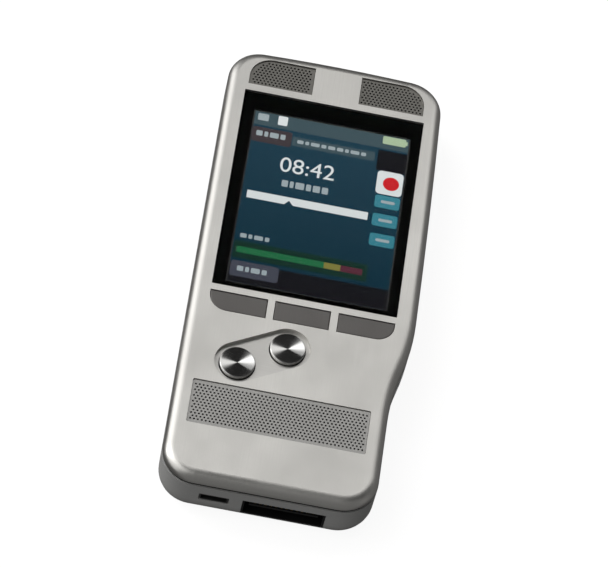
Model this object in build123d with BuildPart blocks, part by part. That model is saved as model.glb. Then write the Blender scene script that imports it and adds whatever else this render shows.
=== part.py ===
from build123d import *
import os
from math import atan2, cos, degrees, hypot, radians, sin

# Pocket dictation recorder lying on its back: +Z out of the display, +Y towards the
# microphones, +X to the right of the display. The origin is the middle of the back face.

# ---------------------------------------------------------------- driving dimensions
WIDTH = 53.0
LENGTH = 123.0
DEPTH = 15.0

LEFT = -WIDTH / 2
RIGHT = WIDTH / 2
TOP = LENGTH / 2
BOTTOM = -LENGTH / 2
TOP_SHOULDER = TOP - 0.8        # where the bowed top edge meets the sides
UPPER_RIGHT = 25.44             # the right side leans in a little towards the top
SLIM_RIGHT = 22.95              # right side of the slimmer lower half
WAIST_TOP = -8.5
WAIST_END = -36.5
CORNER = 8.0
CORNER_RIGHT = 8.5

PLATE = 0.8                     # front plate sheet
PLATE_ROLL = 2.4                # rolled edge of the front plate
PLATE_UNDER = DEPTH - PLATE
SKIRT = 12.4                    # lower edge of the front plate
SEAM_RECESS = 0.35              # how far the middle frame stands back in the seam
SHELL_TOP = 11.4
SHELL_WALL = 1.3
SHELL_ROUND = 5.0               # rounding of the back edges
DECK_TOP = 13.8                 # inner deck that carries glass, grille and meshes
DECK_INSET = 1.8
LEDGE_INSET = 2.2               # inner side of the middle frame's rim

PCB_LOW = 9.9                   # the main board's two faces
PCB_HIGH = 10.9
PCB_INSET = 3.0
DOME_TOP = PCB_HIGH + 0.4       # click domes under keys and rockers
SHEET_TOP = PCB_HIGH + 0.1

GLASS = (-21.9, 21.6, -8.65, 48.5)           # x0, x1, y0, y1
GLASS_FACE = DEPTH - 0.05
MASK = 0.2                                   # printed border under the glass
PICTURE = (-18.6, 18.9, -6.5, 43.5)
LCD = (-20.1, 20.4, -8.0, 47.5)

KEY_BOTTOM = -15.8
KEY_TOP = -10.45
KEY_CORNER = 4.3
KEYS = {"left": (-22.0, -8.4), "middle": (-6.75, 6.4), "right": (8.15, 21.5)}
KEY_GAP = 0.12
KEY_TRAVEL = 0.4
KEY_FACE = DEPTH - 0.1
KEY_BASE = 13.2                 # underside of the key caps
KEY_FLANGE = 0.45               # wider foot that holds a key in under the plate
KEY_FLANGE_HIGH = 0.5
KEY_STEM_R = 1.2
KEY_WELL = (-22.8, 22.4)        # opening in the middle frame, x0 and x1

ROCKERS = {"upper": (-2.2, -22.8), "lower": (-13.1, -29.0)}
ROCKER_R = 4.1
ROCKER_GAP = 0.2
ROCKER_BELT_R = 5.4             # end radius of the sunk belt round both rockers
BELT_FLOOR = 13.9
TRAY_LOW = 13.5
TRAY_FLANGE = 0.5
ROCKER_AXIS_ANGLE = 20.0
ROCKER_PIVOT_Z = 13.5
ROCKER_PIN_R = 0.5
ROCKER_PIN_CLEARANCE = 0.06
ROCKER_STEM = 2.5               # stems that press the domes, from the middle
ROCKER_STEM_LOW = 11.55
ROCKER_STEM_R = 0.7
ROCKER_UNDER = 14.3             # underside of the disc
ROCKER_SKIRT_R = 3.5            # inside of the wall that hangs from the disc's rim
ROCKER_DISH = 0.25              # how far the face dips to its middle
ROCKER_LUG = 2.6                # lugs that hold the pin, from the middle

GRILLE = (-22.4, 18.8, -47.3, -35.5)
GRILLE_FACE = DEPTH - 0.3
GRILLE_FLANGE = 0.3
SPEAKER = (-1.8, -42.6)
SPEAKER_R = 11.3
SPEAKER_LOW = 8.6
SPEAKER_HIGH = 13.5
MAGNET_R = 6.0

MIC_BOTTOM = 50.5
MIC_TOP = 58.7
MIC_CORNER = 5.5
MIC_FLANGE = 0.6
MIC_FACE = 14.6
MICS = {"left": (-21.5, -5.95), "right": (5.4, 21.2)}
MIC_CAPSULES = {"left": (-13.6, 54.7), "right": (12.9, 54.7)}
CAPSULE_R = 2.85
BOOT_R = 3.5

HOLE_PITCH = 0.9
HOLE_ROW = HOLE_PITCH * sin(radians(60))
HOLE_R = 0.25

JACKS = {"microphone": -9.0, "headphone": 9.0}
JACK_Z = 7.4
JACK_BORE_R = 1.8
JACK_BORE_DEPTH = 14.0
JACK_BARREL_R = 2.9
JACK_BARREL = 2.0
JACK_BODY = (3.0, 2.5)          # half its width, and how far it reaches below the bore's axis
JACK_SUNK = 0.5                 # how far the barrel's mouth stands back from the end of the case
JACK_FLARE = 6.0                # degrees that its opening in the shell widens outwards

USB = (-16.5, -9.6, 6.2, 8.6)                # x0, x1, z0, z1
USB_LONG = 5.4
USB_SUNK = 0.1
DOCK = (-6.6, 12.5, 3.3, 9.0)
DOCK_LONG = 8.0
DOCK_SUNK = 0.3
DOCK_TONGUE = 0.35                           # half its thickness

CARD = (-25.9, 6.1, 14.0, 38.0, 6.9, 9.0)    # x0, x1, y0, y1, z0, z1

SWITCH_Y = -14.0
SWITCH_HALF = 5.5               # half the knob's length
SWITCH_KNOB = (7.8, 11.0)
SWITCH_STEM = (1.2, 8.7, 9.7)   # half its width, z0, z1
SWITCH_FLOOR_X = 23.0
SWITCH_UP = 3.0
SWITCH_DOWN = 6.0
POWER_Y = 3.0
POWER_HALF = 3.0
POWER_KNOB = (8.0, 10.6)
POWER_STEM = (1.0, 9.0, 9.6)
POWER_TRAVEL = 2.0
POWER_FLOOR_X = -25.0
SLIDE_END_GAP = 0.4             # room left at each end of a slide switch's channel
SLIDE_GAP = 0.2                 # room beside its knob and its stem
BUTTON_Y = -18.0
BUTTON_Z = 8.9
BUTTON_LONG = 9.0
BUTTON_HIGH = 3.0
BUTTON_GAP = 0.2

COVER = (-16.2, 12.2, 6.0)                   # x0, x1, upper end
COVER_LIP = 0.8
COVER_HIGH = 1.4
BATTERY = (-15.0, 11.0, -49.9, 2.2, 1.65, 7.2)
TERMINALS = (-6.0, -2.0, 2.0)

SCREWS = [(-19.6, 53.6), (18.6, 53.6), (-19.6, -53.6), (16.0, -53.6)]
SCREW_BOSS_R = 1.9
SCREW_POST_R = 2.1
FRAME_LEGS = [(-21.8, 20), (22.3, 20), (-19.5, -36), (17.5, -36)]
FRAME_LEG_R = 0.9
SCREW_HEAD = (1.8, 0.45, 1.75)  # radius, z0, z1
SCREW_SHANK_R = 0.8


# ---------------------------------------------------------------- shared helpers
def save(builder, name):
    """Label a finished piece and write it."""
    builder.part.label = name
    export_step(builder.part, f"parts/{name}.step")


def block(xs, ys, zs, mode=Mode.ADD):
    """A box in the current part, given by its span along each axis."""
    middle = [(low + high) / 2 for low, high in (xs, ys, zs)]
    size = [high - low for low, high in (xs, ys, zs)]
    with Locations(tuple(middle)):
        Box(*size, mode=mode)


def post(x, y, radius, zs, mode=Mode.ADD):
    """An upright round post or hole in the current part."""
    with Locations((x, y, (zs[0] + zs[1]) / 2)):
        Cylinder(radius, zs[1] - zs[0], mode=mode)


def outline(level, inset=0.0):
    """Plan outline of the case at a height, moved in by an inset."""
    waist_middle = ((RIGHT + SLIM_RIGHT) / 2, (WAIST_TOP + WAIST_END) / 2)
    with BuildSketch(Plane.XY.offset(level)) as plan:
        with BuildLine():
            Line((LEFT, BOTTOM), (SLIM_RIGHT, BOTTOM))
            Line((SLIM_RIGHT, BOTTOM), (SLIM_RIGHT, WAIST_END))
            waist = TangentArc((SLIM_RIGHT, WAIST_END), waist_middle, tangent=(0, 1))
            TangentArc(waist_middle, (RIGHT, WAIST_TOP), tangent=waist % 1)
            TangentArc((RIGHT, WAIST_TOP), (UPPER_RIGHT, TOP_SHOULDER), tangent=(0, 1))
            ThreePointArc((UPPER_RIGHT, TOP_SHOULDER), (0, TOP), (LEFT, TOP_SHOULDER))
            Line((LEFT, TOP_SHOULDER), (LEFT, BOTTOM))
        make_face()
        fillet(plan.vertices().group_by(Axis.X)[0], radius=CORNER)
        for y in (BOTTOM, TOP_SHOULDER):
            corner = plan.vertices().filter_by(lambda v: v.X > 0 and abs(v.Y - y) < 0.01)
            fillet(corner, radius=CORNER_RIGHT)
        if inset:
            offset(amount=-inset, mode=Mode.REPLACE)
    return plan.sketch


def panel(level, box, grow=0.0, radius=0.4):
    """Rounded rectangle sketch at a height, from x0, x1, y0, y1."""
    x0, x1, y0, y1 = box
    with BuildSketch(Plane.XY.offset(level)) as shape:
        with Locations(((x0 + x1) / 2, (y0 + y1) / 2)):
            RectangleRounded(x1 - x0 + 2 * grow, y1 - y0 + 2 * grow, max(radius + grow, 0.1))
    return shape.sketch


def cornered(level, box, side, up, big, grow=0.0):
    """Rectangle with one big outer corner: side is left or right, up picks top or bottom."""
    x0, x1, y0, y1 = box
    with BuildSketch(Plane.XY.offset(level)) as shape:
        with Locations(((x0 + x1) / 2, (y0 + y1) / 2)):
            Rectangle(x1 - x0 + 2 * grow, y1 - y0 + 2 * grow)
        if side in ("left", "right"):
            outer = shape.vertices().sort_by(Axis.X)
            outer = outer[:2] if side == "left" else outer[-2:]
            corner = outer.sort_by(Axis.Y)[-1 if up else 0]
            fillet(corner, radius=big + grow)
    return shape.sketch


def belt(level, radius):
    """Stadium round both rockers."""
    (xa, ya), (xb, yb) = ROCKERS["lower"], ROCKERS["upper"]
    with BuildSketch(Plane.XY.offset(level)) as shape:
        with Locations(((xa + xb) / 2, (ya + yb) / 2)):
            SlotCenterToCenter(hypot(xb - xa, yb - ya), 2 * radius,
                               rotation=degrees(atan2(yb - ya, xb - xa)))
    return shape.sketch


def perforate(limit, zs):
    """Staggered rows of small round holes through the current part, inside a flat sketch."""
    area = limit.bounding_box()
    rows = int(area.size.Y / HOLE_ROW)
    columns = int(area.size.X / HOLE_PITCH) + 1
    spots = []
    for row in range(-rows, rows + 1):
        for column in range(-columns, columns + 1):
            x = area.center().X + (column + 0.5 * (row % 2)) * HOLE_PITCH
            y = area.center().Y + row * HOLE_ROW
            if limit.face().is_inside((x, y, area.min.Z)):
                spots.append((x, y))
    with BuildSketch(Plane.XY.offset(zs[0])) as holes:
        with Locations(spots):
            Circle(HOLE_R)
    extrude(holes.sketch, amount=zs[1] - zs[0], mode=Mode.SUBTRACT)


os.makedirs("parts", exist_ok=True)

# ---------------------------------------------------------------- front plate
with BuildPart() as plate_inside:
    extrude(outline(SKIRT - 1, PLATE), amount=PLATE_UNDER - SKIRT + 1)
    fillet(plate_inside.faces().sort_by(Axis.Z)[-1].edges(), radius=PLATE_ROLL - PLATE)

with BuildPart() as front_plate:
    extrude(outline(SKIRT), amount=DEPTH - SKIRT)
    fillet(front_plate.faces().sort_by(Axis.Z)[-1].edges(), radius=PLATE_ROLL)
    add(plate_inside.part, mode=Mode.SUBTRACT)
    windows = [panel(SKIRT, GLASS, grow=0.1, radius=0.2), belt(SKIRT, ROCKER_BELT_R), panel(SKIRT, GRILLE)]
    for side, (x0, x1) in KEYS.items():
        windows.append(cornered(SKIRT, (x0, x1, KEY_BOTTOM, KEY_TOP), side, False, KEY_CORNER))
    for side, (x0, x1) in MICS.items():
        windows.append(cornered(SKIRT, (x0, x1, MIC_BOTTOM, MIC_TOP), side, True, MIC_CORNER))
    for window in windows:
        extrude(window, amount=2 * PLATE_ROLL, mode=Mode.SUBTRACT)
save(front_plate, "front_plate")

# ---------------------------------------------------------------- speaker grille
with BuildPart() as speaker_grille:
    extrude(panel(DECK_TOP, GRILLE, grow=GRILLE_FLANGE), amount=PLATE_UNDER - DECK_TOP)
    extrude(panel(DECK_TOP, GRILLE, grow=-0.1), amount=GRILLE_FACE - DECK_TOP)
    perforate(panel(0, GRILLE, grow=-0.6), (DECK_TOP - 1, DEPTH + 1))
save(speaker_grille, "speaker_grille")

# ---------------------------------------------------------------- microphone meshes
for side, (x0, x1) in MICS.items():
    window = (x0, x1, MIC_BOTTOM, MIC_TOP)
    flange = (x0 - MIC_FLANGE, x1 + MIC_FLANGE, MIC_BOTTOM - MIC_FLANGE, MIC_TOP + 0.2)
    with BuildPart() as mic_mesh:
        extrude(cornered(DECK_TOP, flange, side, True, MIC_CORNER), amount=PLATE_UNDER - DECK_TOP)
        face = cornered(DECK_TOP, window, side, True, MIC_CORNER, grow=-0.12)
        extrude(face, amount=MIC_FACE - DECK_TOP)
        perforate(cornered(0, window, side, True, MIC_CORNER, grow=-0.6), (DECK_TOP - 1, DEPTH + 1))
    save(mic_mesh, f"mic_mesh_{side}")

# ---------------------------------------------------------------- display
with BuildPart() as display_lens:
    extrude(panel(DECK_TOP + MASK, GLASS, radius=0.3), amount=GLASS_FACE - DECK_TOP - MASK)
    chamfer(display_lens.faces().sort_by(Axis.Z)[-1].edges(), length=0.15)
save(display_lens, "display_lens")

with BuildPart() as lens_mask:
    extrude(panel(DECK_TOP, GLASS, grow=-0.1, radius=0.3), amount=MASK)
    extrude(panel(DECK_TOP, PICTURE, grow=0.4, radius=0.1), amount=MASK, mode=Mode.SUBTRACT)
save(lens_mask, "lens_mask")

with BuildPart() as lcd_module:
    block(LCD[:2], LCD[2:], (SHELL_TOP, DECK_TOP))
    fillet(lcd_module.edges().filter_by(Axis.Z), radius=0.6)
save(lcd_module, "lcd_module")

with BuildPart() as lcd_cushion:
    block((LCD[0] + 2, LCD[1] - 2), (LCD[2] + 2, LCD[3] - 2), (PCB_HIGH, SHELL_TOP))
    block((LCD[0] + 6, LCD[1] - 6), (LCD[2] + 6, LCD[3] - 6), (PCB_HIGH, SHELL_TOP), Mode.SUBTRACT)
save(lcd_cushion, "lcd_cushion")

# ---------------------------------------------------------------- function keys
for side, (x0, x1) in KEYS.items():
    face = (x0, x1, KEY_BOTTOM, KEY_TOP)
    with BuildPart() as key:
        cap = cornered(KEY_BASE, face, side, False, KEY_CORNER, grow=-KEY_GAP)
        extrude(cap, amount=KEY_FACE - KEY_BASE)
        fillet(key.faces().sort_by(Axis.Z)[-1].edges(), radius=0.25)
        extrude(cornered(KEY_BASE, face, side, False, KEY_CORNER, grow=KEY_FLANGE), amount=KEY_FLANGE_HIGH)
        stem_low = DOME_TOP + KEY_TRAVEL + 0.05
        post((x0 + x1) / 2, (KEY_BOTTOM + KEY_TOP) / 2, KEY_STEM_R, (stem_low, KEY_BASE + 0.1))
    save(key, f"key_{side}")

# ---------------------------------------------------------------- rockers in their belt
with BuildPart() as rocker_tray:
    extrude(belt(TRAY_LOW, ROCKER_BELT_R + TRAY_FLANGE), amount=PLATE_UNDER - TRAY_LOW)
    extrude(belt(BELT_FLOOR, ROCKER_BELT_R), amount=DEPTH - BELT_FLOOR, mode=Mode.SUBTRACT)
    for x, y in ROCKERS.values():
        post(x, y, ROCKER_R + ROCKER_GAP, (TRAY_LOW - 1, DEPTH), Mode.SUBTRACT)
save(rocker_tray, "rocker_tray")

tilt = radians(ROCKER_AXIS_ANGLE)
for name, (x, y) in ROCKERS.items():
    flat = Plane(origin=(x, y, ROCKER_PIVOT_Z), x_dir=(cos(tilt), sin(tilt), 0), z_dir=(0, 0, 1))
    upright = Plane(origin=(x, y, ROCKER_PIVOT_Z), x_dir=(cos(tilt), sin(tilt), 0),
                    z_dir=(sin(tilt), -cos(tilt), 0))
    across = Plane(origin=(x, y, ROCKER_PIVOT_Z), x_dir=(-sin(tilt), cos(tilt), 0),
                   z_dir=(cos(tilt), sin(tilt), 0))
    under = ROCKER_UNDER - ROCKER_PIVOT_Z
    face = DEPTH - ROCKER_PIVOT_Z
    with BuildPart(flat) as rocker:
        with BuildSketch(upright):
            with BuildLine():
                Polyline((0, under), (ROCKER_SKIRT_R, under), (ROCKER_SKIRT_R, -0.5), (ROCKER_R, -0.5),
                         (ROCKER_R, face - 0.15), (ROCKER_R - 0.15, face), (ROCKER_R - 0.35, face),
                         (0, face - ROCKER_DISH), close=True)
            make_face()
        revolve(axis=Axis((x, y, 0), (0, 0, 1)))
        for end in (-1, 1):
            lug = end * ROCKER_LUG
            block((lug - 0.4, lug + 0.4), (-1.0, 1.0), (-0.8, under + 0.1))
            post(0, end * ROCKER_STEM, ROCKER_STEM_R, (ROCKER_STEM_LOW - ROCKER_PIVOT_Z, under + 0.1))
        with BuildSketch(across):
            Circle(ROCKER_PIN_R + ROCKER_PIN_CLEARANCE)
        extrude(amount=3.2, both=True, mode=Mode.SUBTRACT)
    save(rocker, f"rocker_{name}")
    with BuildPart(flat) as pivot:
        block((-1.7, 1.7), (-0.9, 0.9), (SHEET_TOP - ROCKER_PIVOT_Z, 0.45))
        with BuildSketch(across):
            Circle(ROCKER_PIN_R)
        extrude(amount=3.1, both=True)
    save(pivot, f"rocker_pivot_{name}")

# ---------------------------------------------------------------- dome sheet on the board
with BuildPart() as dome_sheet:
    block((-20, 20), (-19, -10.3), (PCB_HIGH, SHEET_TOP))
    block((-19, 4), (-34.5, -19), (PCB_HIGH, SHEET_TOP))
    post(*SPEAKER, SPEAKER_R + 0.5, (PCB_HIGH - 1, PCB_HIGH + 1), Mode.SUBTRACT)
    for x0, x1 in KEYS.values():
        post((x0 + x1) / 2, (KEY_BOTTOM + KEY_TOP) / 2, 2.3, (PCB_HIGH, DOME_TOP))
    for x, y in ROCKERS.values():
        for end in (-ROCKER_STEM, ROCKER_STEM):
            post(x - end * sin(tilt), y + end * cos(tilt), 1.2, (PCB_HIGH, DOME_TOP - 0.05))
save(dome_sheet, "dome_sheet")

# ---------------------------------------------------------------- middle frame
with BuildPart() as middle_frame:
    extrude(outline(SHELL_TOP, SEAM_RECESS), amount=SKIRT - SHELL_TOP)
    extrude(outline(SHELL_TOP - 1, LEDGE_INSET), amount=SKIRT - SHELL_TOP + 1, mode=Mode.SUBTRACT)
    extrude(outline(SKIRT, DECK_INSET), amount=DECK_TOP - SKIRT)
    for x, y in SCREWS:
        post(x, y, SCREW_BOSS_R, (SHELL_TOP, DECK_TOP))
    for x, y in FRAME_LEGS:
        post(x, y, FRAME_LEG_R, (PCB_HIGH, SKIRT))
    cuts = [panel(SHELL_TOP - 2, LCD, grow=0.2), belt(SHELL_TOP - 2, ROCKER_BELT_R - 0.5)]
    cuts.append(belt(TRAY_LOW, ROCKER_BELT_R + TRAY_FLANGE))
    cuts.append(panel(SHELL_TOP - 2, (*KEY_WELL, KEY_BOTTOM - 0.9, KEY_TOP + 0.9), radius=0.2))
    for cut in cuts:
        extrude(cut, amount=6, mode=Mode.SUBTRACT)
    post(*SPEAKER, SPEAKER_R + 0.5, (PCB_HIGH, DEPTH), Mode.SUBTRACT)
    for x, y in MIC_CAPSULES.values():
        post(x, y, BOOT_R + 0.1, (PCB_HIGH, DEPTH), Mode.SUBTRACT)
    for x, y in SCREWS:
        post(x, y, SCREW_SHANK_R + 0.05, (SHELL_TOP - 1, 13.4), Mode.SUBTRACT)
save(middle_frame, "middle_frame")

# ---------------------------------------------------------------- main board and what it carries
with BuildPart() as main_board:
    extrude(outline(PCB_LOW, PCB_INSET), amount=PCB_HIGH - PCB_LOW)
    block((21.2, 30), (-30, -1), (PCB_LOW - 1, PCB_HIGH + 1), Mode.SUBTRACT)
    post(*SPEAKER, MAGNET_R + 0.4, (PCB_LOW - 1, PCB_HIGH + 1), Mode.SUBTRACT)
    for x, y in SCREWS:
        post(x, y, SCREW_POST_R + 0.2, (PCB_LOW - 1, PCB_HIGH + 1), Mode.SUBTRACT)
save(main_board, "main_board")

with BuildPart() as shield_can:
    block((8.5, 20.0), (11.0, 40.0), (8.3, PCB_LOW))
    fillet(shield_can.edges().filter_by(Axis.Z), radius=0.5)
    block((8.7, 19.8), (11.2, 39.8), (8.5, PCB_LOW), Mode.SUBTRACT)
save(shield_can, "shield_can")

with BuildPart() as speaker:
    with BuildSketch(Plane(origin=(*SPEAKER, 0), x_dir=(1, 0, 0), z_dir=(0, -1, 0))):
        with BuildLine():
            Polyline((0, SPEAKER_LOW), (MAGNET_R, SPEAKER_LOW), (MAGNET_R, PCB_HIGH),
                     (SPEAKER_R, PCB_HIGH), (SPEAKER_R, SPEAKER_HIGH), (SPEAKER_R - 1.0, SPEAKER_HIGH),
                     (SPEAKER_R - 1.4, SPEAKER_HIGH - 0.5), (4.2, 12.0), (0, 12.7), close=True)
        make_face()
    revolve(axis=Axis((*SPEAKER, 0), (0, 0, 1)))
save(speaker, "speaker")

for side, (x, y) in MIC_CAPSULES.items():
    with BuildPart() as mic_boot:
        post(x, y, BOOT_R, (PCB_HIGH, DECK_TOP))
        post(x, y, CAPSULE_R + 0.05, (PCB_HIGH + 0.3, DECK_TOP + 1), Mode.SUBTRACT)
    save(mic_boot, f"mic_boot_{side}")
    with BuildPart() as mic_capsule:
        post(x, y, CAPSULE_R, (PCB_HIGH + 0.3, 13.3))
        post(x, y, 0.9, (13.0, 13.4), Mode.SUBTRACT)
    save(mic_capsule, f"mic_capsule_{side}")

# ---------------------------------------------------------------- sockets
jack_mouth = TOP - JACK_SUNK
half_wide, reach_down = JACK_BODY
for name, x in JACKS.items():
    mouth = Plane(origin=(x, jack_mouth, JACK_Z), x_dir=(1, 0, 0), z_dir=(0, 1, 0))
    with BuildPart() as jack:
        block((x - half_wide, x + half_wide), (jack_mouth - JACK_BORE_DEPTH - 1.7, jack_mouth - 1.7),
              (JACK_Z - reach_down, PCB_LOW))
        with BuildSketch(mouth):
            Circle(JACK_BARREL_R)
        extrude(amount=-JACK_BARREL)
        with BuildSketch(mouth):
            Circle(JACK_BORE_R)
        extrude(amount=-JACK_BORE_DEPTH, mode=Mode.SUBTRACT)
    save(jack, f"{name}_jack")

usb_y = BOTTOM + USB_SUNK
with BuildPart() as usb_socket:
    block((USB[0] + 0.15, USB[1] - 0.15), (usb_y, usb_y + USB_LONG), (USB[2] + 0.1, USB[3] - 0.1))
    fillet(usb_socket.edges().filter_by(Axis.Y).group_by(Axis.Z)[0], radius=0.7)
    block((USB[0] + 0.45, USB[1] - 0.45), (usb_y - 1, usb_y + USB_LONG - 0.6),
          (USB[2] + 0.4, USB[3] - 0.4), Mode.SUBTRACT)
    block((USB[0] + 2.0, USB[1] - 2.0), (usb_y + 0.9, usb_y + USB_LONG - 0.4),
          (USB[3] - 1.35, USB[3] - 0.75))
    block((USB[0] + 1.0, USB[1] - 1.0), (usb_y + 2.0, usb_y + USB_LONG), (USB[3] - 0.2, PCB_LOW))
save(usb_socket, "usb_socket")

dock_y = BOTTOM + DOCK_SUNK
dock_middle = (DOCK[2] + DOCK[3]) / 2
with BuildPart() as dock_connector:
    block((DOCK[0] + 0.1, DOCK[1] - 0.1), (dock_y, dock_y + DOCK_LONG), (DOCK[2] + 0.1, DOCK[3] - 0.1))
    block((DOCK[0] + 0.5, DOCK[1] - 0.5), (dock_y - 1, dock_y + DOCK_LONG - 1.0),
          (DOCK[2] + 0.5, DOCK[3] - 0.5), Mode.SUBTRACT)
    block((DOCK[0] + 1.6, DOCK[1] - 1.6), (dock_y + 0.8, dock_y + DOCK_LONG - 0.5),
          (dock_middle - DOCK_TONGUE, dock_middle + DOCK_TONGUE))
    block((DOCK[0] + 1.0, DOCK[1] - 1.0), (dock_y + 3.6, dock_y + DOCK_LONG), (DOCK[3] - 0.2, PCB_LOW))
save(dock_connector, "dock_connector")

with BuildPart() as dock_contacts:
    with BuildSketch(Plane.XY.offset(dock_middle + DOCK_TONGUE)) as pads:
        with Locations(((DOCK[0] + DOCK[1]) / 2, dock_y + 3.4)):
            with GridLocations(1.2, 1, 12, 1):
                Rectangle(0.6, 4.6)
    extrude(amount=0.12)
save(dock_contacts, "dock_contacts")

# ---------------------------------------------------------------- memory card and its socket
cx0, cx1, cy0, cy1, cz0, cz1 = CARD
with BuildPart() as memory_card:
    block((cx0, cx1), (cy0, cy1), (cz0, cz1))
    chamfer(memory_card.edges().filter_by(Axis.Z).sort_by(Axis.X)[-2:].sort_by(Axis.Y)[0], length=4.0)
    block((cx0 + 8.0, cx0 + 11.0), (cy1 - 1.0, cy1 + 1), (cz0 + 0.7, cz1 + 1), Mode.SUBTRACT)
    block((cx0 + 2.5, cx0 + 24.0), (cy0 + 2.0, cy1 - 2.0), (cz0 - 1, cz0 + 0.15), Mode.SUBTRACT)
    fillet(memory_card.edges().filter_by(Axis.Z).sort_by(Axis.X)[:2], radius=0.9)
save(memory_card, "memory_card")

with BuildPart() as card_socket:
    block((-23.9, cx1 + 0.9), (cy0 - 0.8, cy1 + 0.8), (cz0 - 0.4, PCB_LOW))
    block((-30, cx1 + 0.3), (cy0 - 0.2, cy1 + 0.2), (cz0 - 0.15, cz1 + 0.15), Mode.SUBTRACT)
    block((-14.0, -4.0), (cy0 + 6.0, cy1 - 6.0), (cz0 - 1, cz0), Mode.SUBTRACT)
save(card_socket, "card_socket")

# ---------------------------------------------------------------- rear shell
with BuildPart() as shell_outside:
    extrude(outline(0), amount=SHELL_TOP)
    fillet(shell_outside.faces().sort_by(Axis.Z)[0].edges(), radius=SHELL_ROUND)

with BuildPart() as shell_inside:
    extrude(outline(SHELL_WALL, SHELL_WALL), amount=SHELL_TOP)
    fillet(shell_inside.faces().sort_by(Axis.Z)[0].edges(), radius=SHELL_ROUND - SHELL_WALL)

bx0, bx1, by0, by1, bz0, bz1 = BATTERY
switch_reach = SWITCH_HALF + SLIDE_END_GAP
switch_ys = (SWITCH_Y - SWITCH_DOWN - switch_reach, SWITCH_Y + SWITCH_UP + switch_reach)
power_reach = POWER_TRAVEL + POWER_HALF + SLIDE_END_GAP
power_ys = (POWER_Y - power_reach, POWER_Y + power_reach)

with BuildPart() as shell_ribs:
    block((SWITCH_FLOOR_X - 1.4, RIGHT), (switch_ys[0] - 1.4, switch_ys[1] + 1.4), (6.0, SHELL_TOP))
    block((LEFT, POWER_FLOOR_X + 1.1), (power_ys[0] - 1.0, power_ys[1] + 1.0), (6.6, SHELL_TOP))
    block((bx0 - 1.0, bx1 + 1.0), (by0 - 1.1, by1 + 1.8), (1.0, bz1 + 1.0))
    block((COVER[0] - 2.0, COVER[1] + 2.0), (BOTTOM, COVER[2] + 1.5), (1.0, 2.5))
    for x, y in SCREWS:
        post(x, y, SCREW_POST_R + 0.8, (0, 3.5))
        post(x, y, SCREW_POST_R, (0, SHELL_TOP))
    add(shell_outside.part, mode=Mode.INTERSECT)

with BuildPart() as rear_shell:
    add(shell_outside.part)
    add(shell_inside.part, mode=Mode.SUBTRACT)
    add(shell_ribs.part)
    # channels of the two slide switches, with the slots for their stems
    block((SWITCH_FLOOR_X, 30), switch_ys, (SWITCH_KNOB[0] - SLIDE_GAP, 12), Mode.SUBTRACT)
    stem = SWITCH_STEM[0] + SLIDE_GAP
    block((20, 24), (SWITCH_Y - SWITCH_DOWN - stem, SWITCH_Y + SWITCH_UP + stem),
          (SWITCH_STEM[1] - SLIDE_GAP, SWITCH_STEM[2] + SLIDE_GAP), Mode.SUBTRACT)
    block((-30, POWER_FLOOR_X), power_ys, (POWER_KNOB[0] - SLIDE_GAP, POWER_KNOB[1] + SLIDE_GAP),
          Mode.SUBTRACT)
    stem = POWER_STEM[0] + POWER_TRAVEL + SLIDE_GAP
    block((-26, -23), (POWER_Y - stem, POWER_Y + stem),
          (POWER_STEM[1] - SLIDE_GAP, POWER_STEM[2] + SLIDE_GAP), Mode.SUBTRACT)
    # side button, card slot, jacks, data sockets
    with BuildSketch(Plane(origin=(LEFT - 1, BUTTON_Y, BUTTON_Z), x_dir=(0, 1, 0), z_dir=(1, 0, 0))):
        SlotOverall(BUTTON_LONG + 2 * BUTTON_GAP, BUTTON_HIGH + 2 * BUTTON_GAP)
    extrude(amount=3, mode=Mode.SUBTRACT)
    block((-30, -23), (cy0 - 0.3, cy1 + 0.3), (cz0 - 0.2, cz1 + 0.2), Mode.SUBTRACT)
    for x in JACKS.values():
        with BuildSketch(Plane(origin=(x, TOP - SHELL_WALL - 0.3, JACK_Z), x_dir=(1, 0, 0), z_dir=(0, 1, 0))):
            Circle(JACK_BARREL_R + 0.05)
        extrude(amount=SHELL_WALL + 1, taper=-JACK_FLARE, mode=Mode.SUBTRACT)
    block(USB[:2], (BOTTOM - 1, BOTTOM + 3), USB[2:], Mode.SUBTRACT)
    block(DOCK[:2], (BOTTOM - 1, BOTTOM + 3), DOCK[2:], Mode.SUBTRACT)
    # battery bay, open to the back, and the seat and grooves of its sliding cover
    block((bx0 - 0.2, bx1 + 0.2), (by0 - 0.3, by1 + 1.0), (0, bz1 + 0.2), Mode.SUBTRACT)
    block((COVER[0] - 0.1, COVER[1] + 0.1), (BOTTOM - 1, COVER[2] + 0.12), (-1, COVER_HIGH + 0.1),
          Mode.SUBTRACT)
    block((COVER[0] - COVER_LIP - 0.1, COVER[1] + COVER_LIP + 0.1), (BOTTOM - 1, COVER[2] + 0.12),
          (0.65, COVER_HIGH + 0.1), Mode.SUBTRACT)
    for x, y in SCREWS:
        post(x, y, SCREW_HEAD[0] + 0.15, (-1, SCREW_HEAD[2]), Mode.SUBTRACT)
        post(x, y, SCREW_SHANK_R + 0.2, (0, SHELL_TOP + 1), Mode.SUBTRACT)
save(rear_shell, "rear_shell")

# ---------------------------------------------------------------- battery and its cover
with BuildPart() as battery_cover:
    block(COVER[:2], (BOTTOM - 1, COVER[2]), (0, COVER_HIGH))
    block((COVER[0] - COVER_LIP, COVER[1] + COVER_LIP), (BOTTOM - 1, COVER[2]), (0.75, COVER_HIGH))
    add(shell_outside.part, mode=Mode.INTERSECT)
    with Locations(((COVER[0] + COVER[1]) / 2, -44, 0)):
        with GridLocations(1, 1.8, 1, 5):
            Box(12, 0.8, 0.7, mode=Mode.SUBTRACT)
save(battery_cover, "battery_cover")

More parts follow.
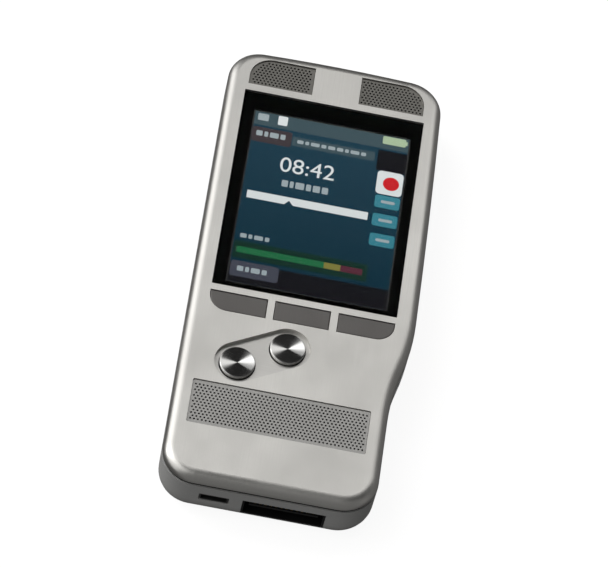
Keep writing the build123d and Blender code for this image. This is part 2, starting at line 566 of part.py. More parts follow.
with BuildPart() as battery:
    block((bx0, bx1), (by0, by1), (bz0, bz1))
    fillet(battery.edges().filter_by(Axis.Y), radius=1.6)
    for x in TERMINALS:
        block((x - 1.0, x + 1.0), (by1 - 0.3, by1 + 1), (3.0, 6.0), Mode.SUBTRACT)
save(battery, "battery")

with BuildPart() as battery_contacts:
    for x in TERMINALS:
        block((x - 0.8, x + 0.8), (by1 + 0.75, by1 + 1.0), (2.6, 6.4))
        block((x - 0.5, x + 0.5), (by1 - 0.15, by1 + 0.8), (4.2, 4.8))
save(battery_contacts, "battery_contacts")

# ---------------------------------------------------------------- side controls
with BuildPart() as slide_switch_knob:
    block((SWITCH_FLOOR_X + 0.15, 25.4), (SWITCH_Y - SWITCH_HALF, SWITCH_Y + SWITCH_HALF), SWITCH_KNOB)
    fillet(slide_switch_knob.edges().filter_by(Axis.Z).group_by(Axis.X)[-1], radius=1.0)
    fillet(slide_switch_knob.faces().sort_by(Axis.X)[-1].edges().filter_by(Axis.Y), radius=0.5)
    with Locations((25.4, SWITCH_Y, 9.4)):
        with GridLocations(1, 1.3, 1, 6):
            Box(0.7, 0.55, 4, mode=Mode.SUBTRACT)
    stem, z0, z1 = SWITCH_STEM
    block((20.7, SWITCH_FLOOR_X + 0.2), (SWITCH_Y - stem, SWITCH_Y + stem), (z0, z1))
save(slide_switch_knob, "slide_switch_knob")

with BuildPart() as slide_switch_body:
    block((17.0, 20.5), (SWITCH_Y - 8.5, SWITCH_Y + 6.5), (6.8, PCB_LOW))
save(slide_switch_body, "slide_switch_body")

with BuildPart() as power_switch_knob:
    block((LEFT + 0.15, POWER_FLOOR_X - 0.1), (POWER_Y - POWER_HALF, POWER_Y + POWER_HALF), POWER_KNOB)
    fillet(power_switch_knob.edges().filter_by(Axis.Z).group_by(Axis.X)[0], radius=0.5)
    with Locations((LEFT + 0.15, POWER_Y, 9.3)):
        with GridLocations(1, 1.2, 1, 3):
            Box(0.6, 0.5, 4, mode=Mode.SUBTRACT)
    stem, z0, z1 = POWER_STEM
    block((POWER_FLOOR_X - 0.2, -22.7), (POWER_Y - stem, POWER_Y + stem), (z0, z1))
save(power_switch_knob, "power_switch_knob")

with BuildPart() as power_switch_body:
    block((-22.5, -19.5), (POWER_Y - 5.0, POWER_Y + 5.0), (7.2, PCB_LOW))
save(power_switch_body, "power_switch_body")

button_plane = Plane(origin=(0, BUTTON_Y, BUTTON_Z), x_dir=(0, 1, 0), z_dir=(1, 0, 0))
with BuildPart() as side_button:
    with BuildSketch(button_plane.offset(LEFT + 0.05)):
        SlotOverall(BUTTON_LONG, BUTTON_HIGH)
    extrude(amount=1.5)
    fillet(side_button.faces().sort_by(Axis.X)[0].edges(), radius=0.3)
    with BuildSketch(button_plane.offset(LEFT + 1.4)):
        SlotOverall(BUTTON_LONG + 1.4, BUTTON_HIGH + 1.2)
    extrude(amount=0.5)
save(side_button, "side_button")

with BuildPart() as side_button_switch:
    block((-23.6, -21.0), (BUTTON_Y - 2.0, BUTTON_Y + 2.0), (7.7, PCB_LOW))
    with BuildSketch(button_plane.offset(-24.1)):
        Circle(0.6)
    extrude(amount=0.6)
save(side_button_switch, "side_button_switch")

# ---------------------------------------------------------------- case screws
with BuildPart() as case_screws:
    for x, y in SCREWS:
        radius, z0, z1 = SCREW_HEAD
        post(x, y, radius, (z0, z1))
        post(x, y, SCREW_SHANK_R, (z1 - 0.05, 13.2))
        block((x - 1.2, x + 1.2), (y - 0.25, y + 0.25), (0, 1.15), Mode.SUBTRACT)
        block((x - 0.25, x + 0.25), (y - 1.2, y + 1.2), (0, 1.15), Mode.SUBTRACT)
save(case_screws, "case_screws")
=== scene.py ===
from math import cos, pi, radians, sin

import bmesh
import bpy
from mathutils import Matrix, Vector


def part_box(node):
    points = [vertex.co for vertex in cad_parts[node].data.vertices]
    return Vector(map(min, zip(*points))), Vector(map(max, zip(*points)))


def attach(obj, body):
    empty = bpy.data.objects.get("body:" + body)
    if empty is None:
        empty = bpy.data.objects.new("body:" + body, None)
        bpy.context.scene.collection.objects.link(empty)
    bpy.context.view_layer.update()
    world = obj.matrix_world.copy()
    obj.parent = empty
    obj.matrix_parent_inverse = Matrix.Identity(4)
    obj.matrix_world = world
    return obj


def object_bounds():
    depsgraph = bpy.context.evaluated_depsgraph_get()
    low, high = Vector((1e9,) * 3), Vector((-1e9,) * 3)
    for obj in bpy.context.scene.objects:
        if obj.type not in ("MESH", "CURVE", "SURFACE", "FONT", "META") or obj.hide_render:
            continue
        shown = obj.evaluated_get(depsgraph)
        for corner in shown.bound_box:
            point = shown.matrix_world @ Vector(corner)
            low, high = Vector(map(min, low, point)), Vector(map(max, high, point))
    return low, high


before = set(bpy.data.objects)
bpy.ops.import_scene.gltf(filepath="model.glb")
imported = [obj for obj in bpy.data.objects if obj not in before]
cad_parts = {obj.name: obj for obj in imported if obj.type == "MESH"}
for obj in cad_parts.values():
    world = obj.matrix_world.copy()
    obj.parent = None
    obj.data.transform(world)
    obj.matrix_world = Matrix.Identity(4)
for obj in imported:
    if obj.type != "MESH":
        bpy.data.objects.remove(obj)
cad_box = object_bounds()
MM = 0.001

# The display's picture is laid out in millimetres from the row origin, like the CAD.
PICTURE = (-18.6, 18.9, -6.5, 43.5)

VIEW_AZIMUTH = -4.76
VIEW_ELEVATION = 54.96
VIEW_DISTANCE = 0.8887
VIEW_ROLL = 14.68
VIEW_TARGET = (-0.0005, -0.0001, 0.009)
LENS = 225

FLOOR_HALF = 3.0
FLOOR_DROP = 0.02 * MM                       # keeps the floor off the flat back

FIGURE_SIZE = 1.38                           # font size over the height of a figure
FIGURE_HALF_THICK = 0.01 * MM


# ---------------------------------------------------------------- node helpers
class Shader:
    """A material with a Principled shader, and short calls for the nodes that feed it."""

    def __init__(self, name, color, rough, metal=0.0, **sockets):
        self.material = bpy.data.materials.new(name)
        self.material.use_nodes = True
        self.tree = self.material.node_tree
        self.bsdf = self.tree.nodes["Principled BSDF"]
        self.set("Base Color", (*color, 1))
        self.set("Roughness", rough)
        self.set("Metallic", metal)
        for socket, value in sockets.items():
            self.set(socket.replace("_", " "), value)
        self.normal = None

    def set(self, socket, value):
        self.bsdf.inputs[socket].default_value = value

    def drive(self, socket, output):
        self.tree.links.new(output, self.bsdf.inputs[socket])

    def node(self, kind, **values):
        made = self.tree.nodes.new(kind)
        for key, value in values.items():
            setattr(made, key, value)
        return made

    def place(self, scale=(1, 1, 1), turn=0.0):
        """Object coordinates in metres, stretched by a scale and turned about Z."""
        where = self.node("ShaderNodeTexCoord")
        mapping = self.node("ShaderNodeMapping")
        mapping.inputs["Scale"].default_value = scale
        mapping.inputs["Rotation"].default_value = (0, 0, turn)
        self.tree.links.new(where.outputs["Object"], mapping.inputs["Vector"])
        return mapping.outputs["Vector"]

    def noise(self, scale, detail=4.0, stretch=(1, 1, 1), rough=0.55, turn=0.0):
        made = self.node("ShaderNodeTexNoise")
        made.inputs["Scale"].default_value = scale
        made.inputs["Detail"].default_value = detail
        made.inputs["Roughness"].default_value = rough
        self.tree.links.new(self.place(stretch, turn), made.inputs["Vector"])
        return made.outputs["Fac"]

    def cells(self, scale, feature="F1", stretch=(1, 1, 1)):
        made = self.node("ShaderNodeTexVoronoi", feature=feature)
        made.inputs["Scale"].default_value = scale
        self.tree.links.new(self.place(stretch), made.inputs["Vector"])
        return made.outputs["Distance"]

    def span(self, value, low, high, to_low=0.0, to_high=1.0):
        made = self.node("ShaderNodeMapRange")
        made.inputs["From Min"].default_value = low
        made.inputs["From Max"].default_value = high
        made.inputs["To Min"].default_value = to_low
        made.inputs["To Max"].default_value = to_high
        self.tree.links.new(value, made.inputs["Value"])
        return made.outputs["Result"]

    def math(self, operation, first, second):
        made = self.node("ShaderNodeMath", operation=operation)
        for socket, value in zip(made.inputs, (first, second)):
            if hasattr(value, "links"):
                self.tree.links.new(value, socket)
            else:
                socket.default_value = value
        return made.outputs["Value"]

    def blend(self, factor, first, second):
        """Colour between two colours or colour sockets."""
        made = self.node("ShaderNodeMix", data_type="RGBA")
        self.tree.links.new(factor, made.inputs["Factor"])
        # a Mix node keeps a set of sockets per type, so the colour ones are found by type
        sockets = [s for s in made.inputs if s.type == "RGBA"]
        for socket, value in zip(sockets, (first, second)):
            if hasattr(value, "links"):
                self.tree.links.new(value, socket)
            else:
                socket.default_value = (*value, 1)
        return [s for s in made.outputs if s.type == "RGBA"][0]

    def bump(self, height, distance, strength=1.0):
        made = self.node("ShaderNodeBump")
        made.inputs["Strength"].default_value = strength
        made.inputs["Distance"].default_value = distance
        self.tree.links.new(height, made.inputs["Height"])
        if self.normal:
            self.tree.links.new(self.normal, made.inputs["Normal"])
        self.normal = made.outputs["Normal"]
        self.drive("Normal", self.normal)

    def edges(self, radius):
        """1 on sharp outer edges, falling to 0 on flats, from the bevelled normal."""
        bevel = self.node("ShaderNodeBevel", samples=6)
        bevel.inputs["Radius"].default_value = radius
        flat = self.node("ShaderNodeNewGeometry")
        dot = self.node("ShaderNodeVectorMath", operation="DOT_PRODUCT")
        self.tree.links.new(bevel.outputs["Normal"], dot.inputs[0])
        self.tree.links.new(flat.outputs["Normal"], dot.inputs[1])
        return self.span(dot.outputs["Value"], 0.995, 0.85)


def tint(color, factor):
    return tuple(min(1.0, c * factor) for c in color)


# ---------------------------------------------------------------- materials
def brushed(name, color, rough, metal, along_y=True, grain=1.0, wear=0.25):
    """Brushed or satin sheet metal: long fine grain, cloudy handling marks, brighter worn edges."""
    s = Shader(name, color, rough, metal)
    stretch = (1, 0.03, 1) if along_y else (0.03, 1, 1)
    long_grain = s.noise(2600, 5, stretch)
    fine_grain = s.noise(9000, 3, stretch)
    blast = s.noise(14000, 2)
    clouds = s.noise(55, 4)
    grain_mix = s.math("ADD", s.math("MULTIPLY", long_grain, 0.6),
                       s.math("MULTIPLY", fine_grain, 0.4))
    tone = s.blend(s.span(grain_mix, 0.3, 0.7), tint(color, 0.93), tint(color, 1.06))
    tone = s.blend(s.span(clouds, 0.35, 0.7), tone, tint(color, 0.965))
    worn = s.math("MULTIPLY", s.edges(0.0003), wear)
    tone = s.blend(worn, tone, tint(color, 1.3))
    s.drive("Base Color", tone)
    uneven = s.math("ADD", s.span(clouds, 0.3, 0.75, rough - 0.05, rough + 0.05),
                    s.span(grain_mix, 0.3, 0.7, -0.04, 0.04))
    s.drive("Roughness", uneven)
    s.bump(grain_mix, 0.0000025 * grain)
    s.bump(blast, 0.0000012 * grain)
    return s.material


def painted(name, color, rough, flake=0.3):
    """Silver paint on moulded plastic: fine flakes, soft orange peel, faint scuffs."""
    s = Shader(name, color, rough, 0.25, Coat_Weight=0.15, Coat_Roughness=0.35)
    flakes = s.cells(9000)
    peel = s.noise(1400, 2)
    clouds = s.noise(70, 4)
    scuffs = s.noise(420, 5, (1, 0.08, 1), turn=0.5)
    tone = s.blend(s.span(flakes, 0.1, 0.6),
                   tint(color, 1 + 0.2 * flake), tint(color, 1 - 0.2 * flake))
    tone = s.blend(s.span(clouds, 0.4, 0.75), tone, tint(color, 0.93))
    tone = s.blend(s.span(scuffs, 0.66, 0.8, 0, 0.3), tone, tint(color, 1.15))
    s.drive("Base Color", tone)
    s.drive("Roughness", s.span(clouds, 0.3, 0.7, rough - 0.05, rough + 0.08))
    s.bump(peel, 0.000004)
    s.bump(s.noise(6000, 2), 0.0000015)
    return s.material


def moulded(name, color, rough, texture=1.0, gloss=0.5):
    """Moulded plastic or rubber with a spark-eroded texture; its edges are painted lighter, partly
    for rubbed wear and partly as a painted sheen.
    """
    s = Shader(name, color, rough)
    s.set("Specular IOR Level", gloss)
    texture_noise = s.noise(7000, 3)
    clouds = s.noise(120, 3)
    tone = s.blend(s.span(texture_noise, 0.3, 0.7), tint(color, 0.8), tint(color, 1.25))
    # edges lighter in the base colour: partly rubbed wear, partly a painted sheen
    tone = s.blend(s.math("MULTIPLY", s.edges(0.0002), 0.4), tone, tint(color, 1.9))
    s.drive("Base Color", tone)
    s.drive("Roughness", s.span(clouds, 0.3, 0.7, rough - 0.07, rough + 0.07))
    s.bump(texture_noise, 0.000006 * texture)
    return s.material


def spun_metal(name, color, rough, slope, size):
    """Chromed disc turned on a lathe: a shallow cone, with grooves that spread highlights."""
    s = Shader(name, color, rough, 1.0, Anisotropic=0.7, Anisotropic_Rotation=0.25)
    radial = s.node("ShaderNodeTangent", direction_type="RADIAL", axis="Z")
    s.drive("Tangent", radial.outputs["Tangent"])
    clouds = s.noise(300, 3)
    s.drive("Roughness", s.span(clouds, 0.3, 0.7, rough - 0.03, rough + 0.03))
    s.drive("Base Color", s.blend(clouds, tint(color, 0.92), tint(color, 1.05)))
    where = s.node("ShaderNodeTexCoord")
    middle = s.node("ShaderNodeVectorMath", operation="SUBTRACT")
    middle.inputs[1].default_value = (0.5, 0.5, 0)
    s.tree.links.new(where.outputs["Generated"], middle.inputs[0])
    flat = s.node("ShaderNodeVectorMath", operation="MULTIPLY")
    flat.inputs[1].default_value = (size, size, 0)
    s.tree.links.new(middle.outputs[0], flat.inputs[0])
    out = s.node("ShaderNodeVectorMath", operation="LENGTH")
    s.tree.links.new(flat.outputs[0], out.inputs[0])
    s.bump(out.outputs["Value"], slope)
    s.bump(s.noise(9000, 2), 0.0000006)
    return s.material


def perforated(name, color, rough):
    """Punched sheet: satin face, lighter towards the rim of each hole."""
    s = Shader(name, color, rough, 0.8)
    grain = s.noise(5000, 3)
    clouds = s.noise(90, 4)
    edge = s.edges(0.00006)
    tone = s.blend(s.span(grain, 0.3, 0.7), tint(color, 0.86), tint(color, 1.1))
    tone = s.blend(s.span(clouds, 0.4, 0.75), tone, tint(color, 0.9))
    tone = s.blend(s.math("MULTIPLY", edge, 0.35), tone, tint(color, 1.35))
    s.drive("Base Color", tone)
    s.drive("Roughness", s.span(grain, 0.3, 0.7, rough - 0.06, rough + 0.06))
    s.bump(grain, 0.000003)
    return s.material


def clear_glass():
    """Display window: hard clear sheet with a faint film of fingerprints."""
    s = Shader("display_glass", (1, 1, 1), 0.02, 0.0, Transmission_Weight=1.0, IOR=1.09)
    smears = s.noise(160, 5, (1, 0.5, 1), turn=0.6)
    s.drive("Roughness", s.span(smears, 0.5, 0.75, 0.005, 0.05))
    s.bump(s.noise(120, 1), 0.0000008)
    return s.material


def printed_black():
    s = Shader("printed_border", (0.045, 0.048, 0.054), 0.35)
    speckle = s.noise(5000, 2)
    s.drive("Base Color", s.blend(speckle, (0.04, 0.043, 0.048), (0.05, 0.054, 0.06)))
    s.bump(speckle, 0.0000002)
    return s.material


def lit(name, low, high, strength=1.0, upright=True):
    """A lit part of the picture: a vertical run of colour with the display's fine pixel rows."""
    s = Shader(name, (0.004, 0.004, 0.004), 0.4)
    s.set("Specular IOR Level", 0.0)
    where = s.node("ShaderNodeSeparateXYZ")
    s.tree.links.new(s.place(), where.inputs[0])
    run = s.span(where.outputs["Y" if upright else "X"], PICTURE[2] * MM, PICTURE[3] * MM)
    glow = s.blend(run, low, high)
    rows = s.node("ShaderNodeTexWave", bands_direction="Y")
    rows.inputs["Scale"].default_value = 1600
    s.tree.links.new(s.place(), rows.inputs["Vector"])
    glow = s.blend(s.span(rows.outputs["Fac"], 0, 1, 0, 0.1), glow, (0, 0, 0))
    s.drive("Emission Color", glow)
    s.set("Emission Strength", strength)
    return s.material


def board(name, color):
    """Glass-fibre board: solder mask with copper tracks showing through."""
    s = Shader(name, color, 0.35, 0.0, Coat_Weight=0.5, Coat_Roughness=0.15)
    tracks = s.node("ShaderNodeTexBrick", offset=0.4)
    tracks.inputs["Scale"].default_value = 260
    tracks.inputs["Mortar Size"].default_value = 0.03
    tracks.inputs["Color1"].default_value = (*color, 1)
    tracks.inputs["Color2"].default_value = (*tint(color, 1.2), 1)
    tracks.inputs["Mortar"].default_value = (*tint(color, 2.2), 1)
    s.tree.links.new(s.place(), tracks.inputs["Vector"])
    s.drive("Base Color", tracks.outputs["Color"])
    s.bump(tracks.outputs["Fac"], 0.00002)
    return s.material


ROCKER_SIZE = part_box("rocker_upper")[1].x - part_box("rocker_upper")[0].x

satin = brushed("satin_plate", (0.74, 0.73, 0.7), 0.36, 0.9)
key_metal = brushed("anodised_keys", (0.165, 0.158, 0.152), 0.4, 0.6, grain=1.6, wear=0.5)
tray_metal = brushed("tray_satin", (0.7, 0.69, 0.665), 0.38, 0.75, along_y=False)
steel = brushed("plated_steel", (0.55, 0.55, 0.54), 0.32, 0.9, along_y=False, wear=0.4)
# the USB socket's steel is coloured dark as painted shade, standing for its shaded mouth
dark_steel = brushed("dark_steel_painted_shade", (0.16, 0.16, 0.16), 0.36, 0.9, along_y=False, wear=0.4)
grille_metal = perforated("grille_sheet", (0.5, 0.495, 0.48), 0.42)
mesh_metal = perforated("microphone_mesh", (0.25, 0.243, 0.225), 0.45)
shell_paint = painted("silver_paint", (0.66, 0.66, 0.65), 0.42)
cover_paint = painted("cover_paint", (0.63, 0.63, 0.62), 0.46, 0.4)
frame_plastic = moulded("frame_plastic", (0.022, 0.022, 0.024), 0.5)
switch_plastic = moulded("switch_plastic", (0.05, 0.05, 0.052), 0.42, 1.4)
black_rubber = moulded("black_rubber", (0.018, 0.018, 0.018), 0.75, 1.6, 0.3)
foam = moulded("grey_foam", (0.09, 0.09, 0.09), 0.9, 4, 0.2)
connector_plastic = moulded("connector_plastic", (0.008, 0.008, 0.008), 0.45, 0.6)
card_plastic = moulded("card_plastic", (0.02, 0.05, 0.16), 0.4, 0.8)
cell_wrap = moulded("cell_wrap", (0.05, 0.055, 0.07), 0.3, 0.4)
chrome = spun_metal("spun_chrome", (0.56, 0.56, 0.55), 0.14, 0.2, ROCKER_SIZE)
gold = brushed("gold_contact", (0.83, 0.6, 0.22), 0.25, 1.0)
screw_steel = brushed("black_screw", (0.12, 0.12, 0.125), 0.4, 0.9, wear=0.7)

FINISH = {
    satin: ["front_plate"],
    key_metal: ["key_left", "key_middle", "key_right", "side_button"],
    tray_metal: ["rocker_tray"],
    chrome: ["rocker_upper", "rocker_lower"],
    grille_metal: ["speaker_grille"],
    mesh_metal: ["mic_mesh_left", "mic_mesh_right"],
    clear_glass(): ["display_lens"],
    printed_black(): ["lens_mask"],
    shell_paint: ["rear_shell"],
    cover_paint: ["battery_cover"],
    frame_plastic: ["middle_frame", "rocker_pivot_upper", "rocker_pivot_lower", "speaker"],
    switch_plastic: ["slide_switch_knob", "power_switch_knob"],
    black_rubber: ["mic_boot_left", "mic_boot_right"],
    foam: ["lcd_cushion"],
    connector_plastic: ["dock_connector", "headphone_jack", "microphone_jack", "lcd_module"],
    card_plastic: ["memory_card"],
    cell_wrap: ["battery"],
    gold: ["dock_contacts", "battery_contacts"],
    screw_steel: ["case_screws"],
    # painted shade: dark steel for the USB socket
    dark_steel: ["usb_socket"],
    steel: ["card_socket", "shield_can", "mic_capsule_left", "mic_capsule_right", "dome_sheet",
            "slide_switch_body", "power_switch_body", "side_button_switch"],
    board("solder_mask", (0.02, 0.16, 0.08)): ["main_board"],
}
for material, names in FINISH.items():
    for name in names:
        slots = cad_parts[name].data.materials
        slots.clear()
        slots.append(material)


# ---------------------------------------------------------------- the display's picture
# heights of the layers, each a little above the one before
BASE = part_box("lcd_module")[1].z
FIRST = BASE + 0.03 * MM
SECOND = BASE + 0.055 * MM
THIRD = BASE + 0.08 * MM


def on_screen(name, mesh, material):
    """Make an object of a mesh that is part of the display's picture."""
    mesh.materials.append(material)
    piece = bpy.data.objects.new(name, mesh)
    bpy.context.scene.collection.objects.link(piece)
    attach(piece, "case")


def plate_piece(name, outline, level, material, thick=0.02):
    """A thin flat piece from an outline in millimetres, its underside at a height in metres."""
    mesh = bpy.data.meshes.new(name)
    shape = bmesh.new()
    face = shape.faces.new([shape.verts.new((x * MM, y * MM, level)) for x, y in outline])
    top = bmesh.ops.extrude_face_region(shape, geom=[face])
    moved = [v for v in top["geom"] if isinstance(v, bmesh.types.BMVert)]
    bmesh.ops.translate(shape, verts=moved, vec=(0, 0, thick * MM))
    bmesh.ops.recalc_face_normals(shape, faces=shape.faces)
    shape.to_mesh(mesh)
    shape.free()
    on_screen(name, mesh, material)


def rounded(x0, x1, y0, y1, radius, steps=5):
    """Corner points of a rectangle with round corners."""
    points = []
    corners = ((x1 - radius, y1 - radius, 0), (x0 + radius, y1 - radius, 90),
               (x0 + radius, y0 + radius, 180), (x1 - radius, y0 + radius, 270))
    for cx, cy, start in corners:
        for step in range(steps + 1):
            angle = radians(start + 90 * step / steps)
            points.append((cx + radius * cos(angle), cy + radius * sin(angle)))
    return points


def square(x0, x1, y0, y1):
    return [(x0, y0), (x1, y0), (x1, y1), (x0, y1)]


def disc(x, y, radius, steps=28):
    turns = [2 * pi * step / steps for step in range(steps)]
    return [(x + radius * cos(turn), y + radius * sin(turn)) for turn in turns]


def digits(name, text, x, y, height, level, material):
    """Figures of the running time, as a mesh."""
    curve = bpy.data.curves.new(name, "FONT")
    curve.body = text
    curve.size = height * FIGURE_SIZE * MM
    curve.extrude = FIGURE_HALF_THICK
    curve.align_x = "CENTER"
    made = bpy.data.objects.new(name, curve)
    bpy.context.scene.collection.objects.link(made)
    made.location = (x * MM, y * MM, level + FIGURE_HALF_THICK)
    bpy.context.view_layer.update()
    mesh = bpy.data.meshes.new_from_object(made)
    mesh.transform(made.matrix_world)
    bpy.data.objects.remove(made)
    on_screen(name, mesh, material)


white = lit("picture_white", (0.62, 0.66, 0.66), (0.72, 0.76, 0.76))
pale = lit("picture_pale", (0.3, 0.36, 0.38), (0.34, 0.4, 0.42))
backdrop = lit("picture_blue", (0.0, 0.02, 0.036), (0.012, 0.045, 0.072))
bar_blue = lit("picture_bar", (0.035, 0.06, 0.075), (0.05, 0.085, 0.1))
tab_brown = lit("picture_tab", (0.045, 0.035, 0.04), (0.05, 0.04, 0.045))
dark = lit("picture_dark", (0.003, 0.003, 0.005), (0.004, 0.004, 0.006))
teal = lit("picture_teal", (0.03, 0.18, 0.23), (0.05, 0.24, 0.3))
green = lit("picture_green", (0.012, 0.12, 0.045), (0.02, 0.17, 0.06))
green_dim = lit("picture_green_dim", (0.003, 0.022, 0.014), (0.005, 0.032, 0.022))
yellow = lit("picture_yellow", (0.19, 0.18, 0.04), (0.22, 0.2, 0.05))
red = lit("picture_red", (0.45, 0.01, 0.015), (0.6, 0.015, 0.02))
red_dim = lit("picture_red_dim", (0.085, 0.02, 0.035), (0.1, 0.025, 0.04))
battery_green = lit("picture_charge", (0.3, 0.42, 0.25), (0.4, 0.52, 0.34))
softkey = lit("picture_softkey", (0.05, 0.055, 0.075), (0.07, 0.075, 0.1))

x0, x1, y0, y1 = PICTURE

plate_piece("screen_backdrop", square(x0, x1, y0, y1), BASE, backdrop, 0.025)
plate_piece("screen_foot", square(x0, x1, y0, -0.9), FIRST, dark)
plate_piece("screen_status", square(x0, x1, 39.6, y1), FIRST, bar_blue)
plate_piece("screen_tab", rounded(x0, -9.0, 34.6, 39.0, 0.6), FIRST, tab_brown)
plate_piece("screen_band", square(-8.8, 11.2, 35.3, 38.0), FIRST, bar_blue)
plate_piece("screen_column", square(11.9, x1, 33.0, 39.0), FIRST, dark)
plate_piece("screen_progress", square(-17.4, 11.6, 17.9, 20.1), FIRST, white)
plate_piece("screen_progress_mark", [(-8.4, 17.8), (-6.2, 17.8), (-7.3, 19.1)], SECOND, backdrop)
plate_piece("screen_level_bed", square(-18.4, 13.4, 0.3, 5.2), FIRST, green_dim)
plate_piece("screen_level_green", square(-17.6, 3.1, 1.9, 3.6), SECOND, green)
plate_piece("screen_level_yellow", square(3.1, 7.0, 1.9, 3.6), SECOND, yellow)
plate_piece("screen_level_red", square(7.0, 12.2, 1.9, 3.6), SECOND, red_dim)
plate_piece("screen_softkey", rounded(x0 + 0.2, -7.0, -4.9, -0.5, 0.7), SECOND, softkey)
plate_piece("screen_charge", rounded(12.6, 18.2, 41.0, 43.3, 0.35), SECOND, battery_green)
plate_piece("screen_charge_tip", square(18.2, 18.6, 41.6, 42.7), SECOND, battery_green)
plate_piece("screen_record_tile", rounded(12.5, 18.8, 26.2, 33.0, 1.0), FIRST, white)
plate_piece("screen_record_dot", disc(16.0, 29.5, 1.95), SECOND, red)
for row, y in enumerate((24.0, 18.6, 12.8)):
    plate_piece(f"screen_icon_{row}", rounded(12.7, 18.7, y - 1.8, y + 1.8, 0.6), FIRST, teal)
    plate_piece(f"screen_icon_mark_{row}", rounded(14.2, 17.5, y - 0.4, y + 0.4, 0.3), SECOND, pale)
plate_piece("screen_icon_signal", rounded(-17.8, -15.2, 41.0, 43.0, 0.3), SECOND, pale)
plate_piece("screen_icon_memory", rounded(-12.9, -10.6, 40.6, 43.3, 0.3), SECOND, white)
digits("screen_time", "08:42", -4.2, 27.3, 4.4, FIRST, white)
# words are left out: short dashes stand for each line of them, from x, to x, y, height
LINES = ((-9.7, 1.5, 22.9, 1.9), (-17.3, -10.4, 6.2, 1.2), (-17.6, -10.2, 36.4, 1.5),
         (-16.8, -9.4, -3.3, 1.4), (-7.6, 9.6, 36.2, 1.0))
DASHES = (1.5, 0.9, 2.1, 1.2, 1.7)
for row, (left, right, y, tall) in enumerate(LINES):
    x = left
    step = 0
    while x < right - 0.6:
        wide = min(DASHES[step % len(DASHES)], right - x)
        dash = rounded(x, x + wide, y, y + tall, 0.25, 3)
        plate_piece(f"screen_line_{row}_{step}", dash, THIRD, pale)
        x += wide + 0.45
        step += 1


# ---------------------------------------------------------------- floor, light and camera
# The room that the metal mirrors: an even gloom, and soft panels. Each panel has a strength, then
# the ramps that bound it: an axis of the direction, where the panel is dark, and where it is full.
# The axes are the frame's, turned by ROOM_TURN about Z.
ROOM_DARK = 0.025
ROOM_TURN = radians(19)
PANELS = ((0.85, ("X", -0.1, -0.45), ("Y", -0.65, -0.2), ("Z", -0.15, 0.2)),
          (1.3, ("Y", 0.28, 0.42), ("Y", 0.7, 0.51), ("X", 0.9, 0.65), ("Z", -0.1, 0.2)),
          (0.12, ("Y", -0.3, -0.7)),
          (0.1, ("X", 0.5, 0.9)))


def floor_material():
    """Light table: an even glow, with a matt top that still takes a soft shadow."""
    s = Shader("light_table", (0.3, 0.3, 0.3), 0.85)
    s.set("Specular IOR Level", 0.0)
    s.drive("Base Color", s.blend(s.noise(30, 3), (0.29, 0.29, 0.29), (0.31, 0.31, 0.31)))
    s.set("Emission Color", (1, 1, 1, 1))
    s.set("Emission Strength", 0.9)
    s.bump(s.noise(900, 3), 0.00001)
    return s.material


def make_floor():
    mesh = bpy.data.meshes.new("floor")
    shape = bmesh.new()
    bmesh.ops.create_grid(shape, x_segments=8, y_segments=8, size=FLOOR_HALF)
    shape.to_mesh(mesh)
    shape.free()
    mesh.materials.append(floor_material())
    floor = bpy.data.objects.new("floor", mesh)
    floor.location.z = cad_box[0][2] - FLOOR_DROP
    floor.visible_glossy = False
    floor.visible_diffuse = False
    bpy.context.scene.collection.objects.link(floor)


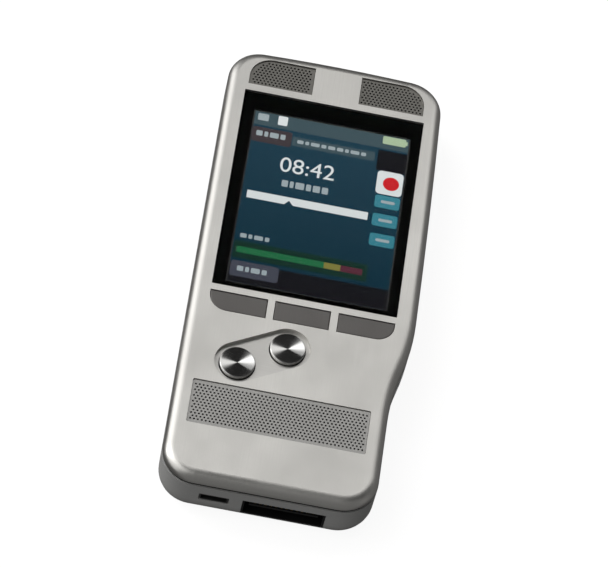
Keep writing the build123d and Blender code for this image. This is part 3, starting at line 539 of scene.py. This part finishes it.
def make_world():
    """Room that lights the metal: bright to the left, a soft panel at the back, dark overhead."""
    world = bpy.data.worlds.new("studio")
    bpy.context.scene.world = world
    world.use_nodes = True
    tree = world.node_tree
    tree.nodes.clear()
    where = tree.nodes.new("ShaderNodeTexCoord")
    turned = tree.nodes.new("ShaderNodeVectorRotate")
    turned.rotation_type = "Z_AXIS"
    turned.inputs["Angle"].default_value = -ROOM_TURN
    axes = tree.nodes.new("ShaderNodeSeparateXYZ")
    tree.links.new(where.outputs["Generated"], turned.inputs["Vector"])
    tree.links.new(turned.outputs["Vector"], axes.inputs[0])

    def combine(operation, first, second):
        made = tree.nodes.new("ShaderNodeMath")
        made.operation = operation
        tree.links.new(first, made.inputs[0])
        if isinstance(second, float):
            made.inputs[1].default_value = second
        else:
            tree.links.new(second, made.inputs[1])
        return made.outputs["Value"]

    total = None
    for strength, *ramps in PANELS:
        panel = None
        for axis, start, end in ramps:
            ramp = tree.nodes.new("ShaderNodeMapRange")
            ramp.interpolation_type = "SMOOTHSTEP"
            ramp.inputs["From Min"].default_value = start
            ramp.inputs["From Max"].default_value = end
            tree.links.new(axes.outputs[axis], ramp.inputs["Value"])
            share = ramp.outputs["Result"]
            panel = combine("MULTIPLY", share, panel or 1.0)
        panel = combine("MULTIPLY", panel, strength)
        total = combine("ADD", panel, total or ROOM_DARK)
    room = tree.nodes.new("ShaderNodeBackground")
    room.inputs["Color"].default_value = (1.0, 0.995, 0.985, 1)
    tree.links.new(total, room.inputs["Strength"])
    seen = tree.nodes.new("ShaderNodeBackground")
    seen.inputs["Color"].default_value = (0.95, 0.95, 0.95, 1)
    path = tree.nodes.new("ShaderNodeLightPath")
    mix = tree.nodes.new("ShaderNodeMixShader")
    out = tree.nodes.new("ShaderNodeOutputWorld")
    tree.links.new(path.outputs["Is Camera Ray"], mix.inputs[0])
    tree.links.new(room.outputs[0], mix.inputs[1])
    tree.links.new(seen.outputs[0], mix.inputs[2])
    tree.links.new(mix.outputs[0], out.inputs["Surface"])


def aim(obj, target, roll=0.0):
    direction = Vector(target) - obj.location
    turn = direction.to_track_quat("-Z", "Y").to_matrix().to_4x4()
    obj.matrix_world = Matrix.Translation(obj.location) @ turn @ Matrix.Rotation(roll, 4, "Z")


def soft_light(name, direction, distance, size, power):
    data = bpy.data.lights.new(name, "AREA")
    data.shape = "DISK"
    data.size = size
    data.energy = power
    light = bpy.data.objects.new(name, data)
    light.location = Vector(direction).normalized() * distance
    bpy.context.scene.collection.objects.link(light)
    aim(light, (0, 0, 0))


def make_camera():
    data = bpy.data.cameras.new("camera")
    data.lens = LENS
    data.clip_start = 0.01
    camera = bpy.data.objects.new("camera", data)
    flat = VIEW_DISTANCE * cos(radians(VIEW_ELEVATION))
    offset = Vector((flat * sin(radians(VIEW_AZIMUTH)), -flat * cos(radians(VIEW_AZIMUTH)),
                     VIEW_DISTANCE * sin(radians(VIEW_ELEVATION))))
    camera.location = Vector(VIEW_TARGET) + offset
    bpy.context.scene.collection.objects.link(camera)
    aim(camera, VIEW_TARGET, radians(VIEW_ROLL))
    bpy.context.scene.camera = camera


make_floor()
make_world()
soft_light("key", (-0.75, 0.3, 0.59), 0.9, 1.2, 2.2)
make_camera()
bpy.context.scene.view_settings.view_transform = "Standard"
